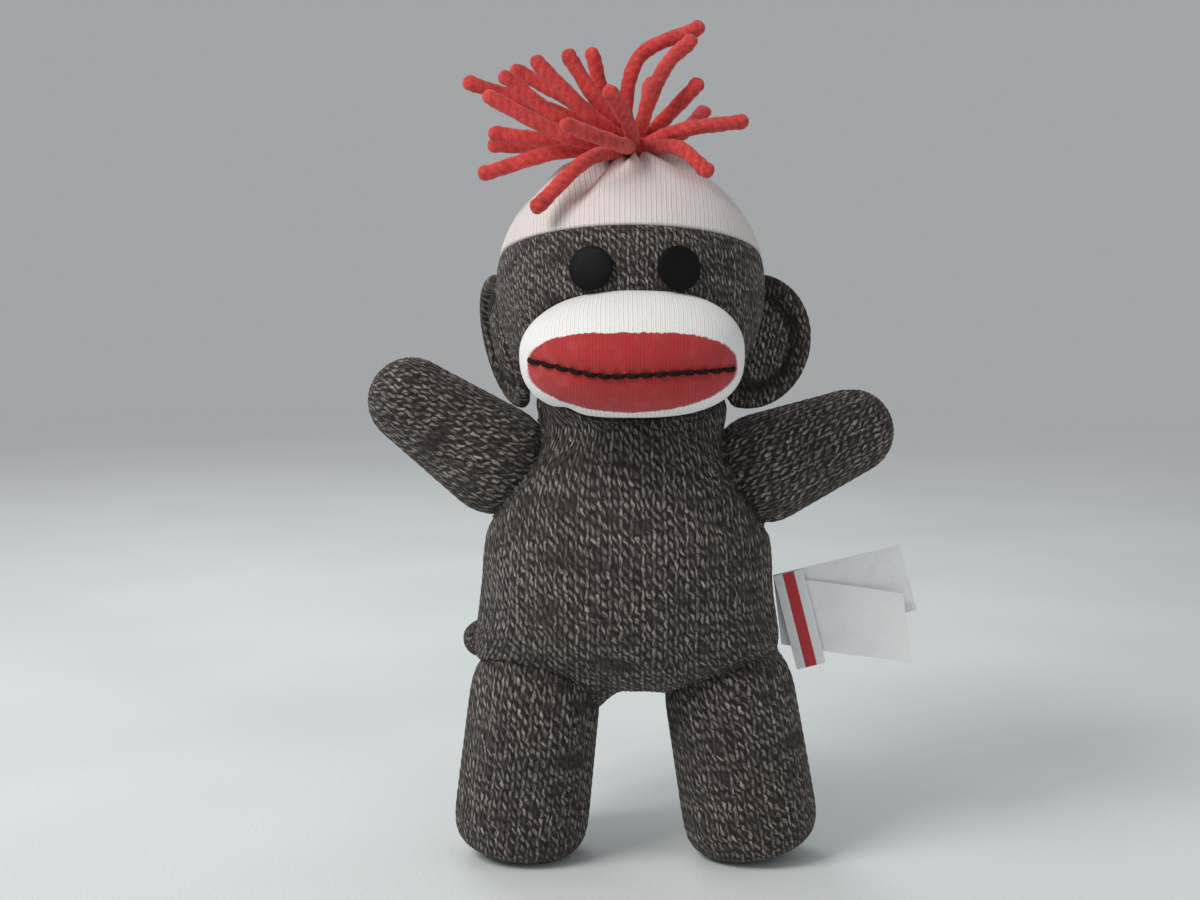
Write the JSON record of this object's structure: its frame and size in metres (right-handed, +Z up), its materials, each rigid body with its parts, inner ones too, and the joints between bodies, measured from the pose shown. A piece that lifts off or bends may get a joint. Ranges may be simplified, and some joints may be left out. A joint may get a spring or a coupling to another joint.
{
  "type": "stuffed monkey",
  "caption": "Stuffed knit monkey with a round head, oval muzzle, pear body, stub limbs, a tail and a yarn tuft; stands on its feet.",
  "frame": {"origin": "on the floor under the middle of the toy's box", "axes": "+Z up, the face towards -Y, the toy's left side towards +X"},
  "size_m": [0.1606, 0.1032, 0.2362],
  "materials": {
    "marled_knit": "matte",
    "cream_knit": "matte",
    "white_knit": "matte",
    "red_yarn": "matte",
    "dark_thread": "matte",
    "brown_thread": "matte",
    "black_plastic": "gloss",
    "white_plastic": "matte",
    "polyester_fibre": "matte",
    "woven_ribbon": "matte"
  },
  "bodies": {
    "torso": {"torso_skin": "marled_knit", "torso_stuffing": "polyester_fibre"},
    "neck": {"neck_stitching": "brown_thread"},
    "head": {"head_skin": "marled_knit", "crown_panel": "cream_knit", "head_stuffing": "polyester_fibre", "right_eye": "black_plastic", "left_eye": "black_plastic", "right_eye_washer": "white_plastic", "left_eye_washer": "white_plastic", "muzzle_skin": "white_knit", "muzzle_stuffing": "polyester_fibre", "mouth_stitching": "dark_thread", "tuft_knot": "red_yarn", "yarn_strand_01": "red_yarn", "yarn_strand_02": "red_yarn", "yarn_strand_03": "red_yarn", "yarn_strand_04": "red_yarn", "yarn_strand_05": "red_yarn", "yarn_strand_06": "red_yarn", "yarn_strand_07": "red_yarn", "yarn_strand_08": "red_yarn", "yarn_strand_09": "red_yarn", "yarn_strand_10": "red_yarn", "yarn_strand_11": "red_yarn", "yarn_strand_12": "red_yarn", "yarn_strand_13": "red_yarn", "yarn_strand_14": "red_yarn", "yarn_strand_15": "red_yarn", "yarn_strand_16": "red_yarn", "yarn_strand_17": "red_yarn", "yarn_strand_18": "red_yarn", "yarn_strand_19": "red_yarn", "yarn_strand_20": "red_yarn", "yarn_strand_21": "red_yarn", "yarn_strand_22": "red_yarn"},
    "right_ear": {"right_ear_skin": "marled_knit", "right_ear_stuffing": "polyester_fibre"},
    "left_ear": {"left_ear_skin": "marled_knit", "left_ear_stuffing": "polyester_fibre"},
    "right_shoulder": {"right_shoulder_stitching": "brown_thread"},
    "left_shoulder": {"left_shoulder_stitching": "brown_thread"},
    "right_arm": {"right_arm_skin": "marled_knit", "right_arm_stuffing": "polyester_fibre"},
    "left_arm": {"left_arm_skin": "marled_knit", "left_arm_stuffing": "polyester_fibre"},
    "right_hip": {"right_hip_stitching": "brown_thread"},
    "left_hip": {"left_hip_stitching": "brown_thread"},
    "right_leg": {"right_leg_skin": "marled_knit", "right_leg_stuffing": "polyester_fibre"},
    "left_leg": {"left_leg_skin": "marled_knit", "left_leg_stuffing": "polyester_fibre"},
    "tail": {"tail_skin": "marled_knit", "tail_stuffing": "polyester_fibre"},
    "side_tab": {"side_tab": "woven_ribbon"},
    "care_label": {"care_label_front": "woven_ribbon", "care_label_back": "woven_ribbon"}
  },
  "joints": [
    {"name": "head_turn", "type": "hinge", "parent": "torso", "child": "neck", "pos_m": [-0.00611, 0.00344, 0.163], "axis": [0, 0, 1], "range_deg": [-45, 45], "stiffness_Nm_per_rad": 0.06},
    {"name": "head_nod", "type": "hinge", "parent": "neck", "child": "head", "pos_m": [-0.00611, 0.00344, 0.163], "axis": [1, 0, 0], "range_deg": [-2, 4], "stiffness_Nm_per_rad": 0.08},
    {"name": "right_ear_fold", "type": "hinge", "parent": "head", "child": "right_ear", "pos_m": [-0.04025, 0.00744, 0.148], "axis": [-0.2079, 0, 0.9781], "range_deg": [-15, 5], "stiffness_Nm_per_rad": 0.004},
    {"name": "left_ear_fold", "type": "hinge", "parent": "head", "child": "left_ear", "pos_m": [0.02802, 0.00744, 0.148], "axis": [0.2079, 0, 0.9781], "range_deg": [-20, 60], "stiffness_Nm_per_rad": 0.004},
    {"name": "right_arm_sweep", "type": "hinge", "parent": "torso", "child": "right_shoulder", "pos_m": [-0.04424, 0.00844, 0.1145], "axis": [0, 0, 1], "range_deg": [-20, 20], "stiffness_Nm_per_rad": 0.03},
    {"name": "right_arm_raise", "type": "hinge", "parent": "right_shoulder", "child": "right_arm", "pos_m": [-0.04424, 0.00844, 0.1145], "axis": [0, 1, 0], "range_deg": [-50, 2], "stiffness_Nm_per_rad": 0.03},
    {"name": "left_arm_sweep", "type": "hinge", "parent": "torso", "child": "left_shoulder", "pos_m": [0.03212, 0.00844, 0.112], "axis": [0, 0, -1], "range_deg": [-8, 36], "stiffness_Nm_per_rad": 0.03},
    {"name": "left_arm_raise", "type": "hinge", "parent": "left_shoulder", "child": "left_arm", "pos_m": [0.03212, 0.00844, 0.112], "axis": [0.3746, -0.9272, 0], "range_deg": [-40, 6], "stiffness_Nm_per_rad": 0.03},
    {"name": "right_leg_spread", "type": "hinge", "parent": "torso", "child": "right_hip", "pos_m": [-0.03321, 0.00344, 0.04683], "axis": [0, 1, 0], "range_deg": [-2, 16], "stiffness_Nm_per_rad": 0.2},
    {"name": "right_leg_swing", "type": "hinge", "parent": "right_hip", "child": "right_leg", "pos_m": [-0.03321, 0.00344, 0.04683], "axis": [-1, 0, 0], "range_deg": [-20, 42], "stiffness_Nm_per_rad": 0.15},
    {"name": "left_leg_spread", "type": "hinge", "parent": "torso", "child": "left_hip", "pos_m": [0.02259, 0.00344, 0.047], "axis": [0, -1, 0], "range_deg": [-2, 16], "stiffness_Nm_per_rad": 0.2},
    {"name": "left_leg_swing", "type": "hinge", "parent": "left_hip", "child": "left_leg", "pos_m": [0.02259, 0.00344, 0.047], "axis": [-1, 0, 0], "range_deg": [-20, 42], "stiffness_Nm_per_rad": 0.15},
    {"name": "tail_wag", "type": "hinge", "parent": "torso", "child": "tail", "pos_m": [-0.01271, 0.0342, 0.062], "axis": [0, 0, 1], "range_deg": [-35, 5], "stiffness_Nm_per_rad": 0.006},
    {"name": "side_tab_flap", "type": "hinge", "parent": "torso", "child": "side_tab", "pos_m": [0.03486, 0.00544, 0.081], "axis": [-0.2504, 0, 0.9681], "range_deg": [-40, 0], "stiffness_Nm_per_rad": 0.0008},
    {"name": "care_label_flap", "type": "hinge", "parent": "torso", "child": "care_label", "pos_m": [0.03486, 0.00544, 0.081], "axis": [0, 0, 1], "range_deg": [0, 20], "stiffness_Nm_per_rad": 0.0008}
  ]
}
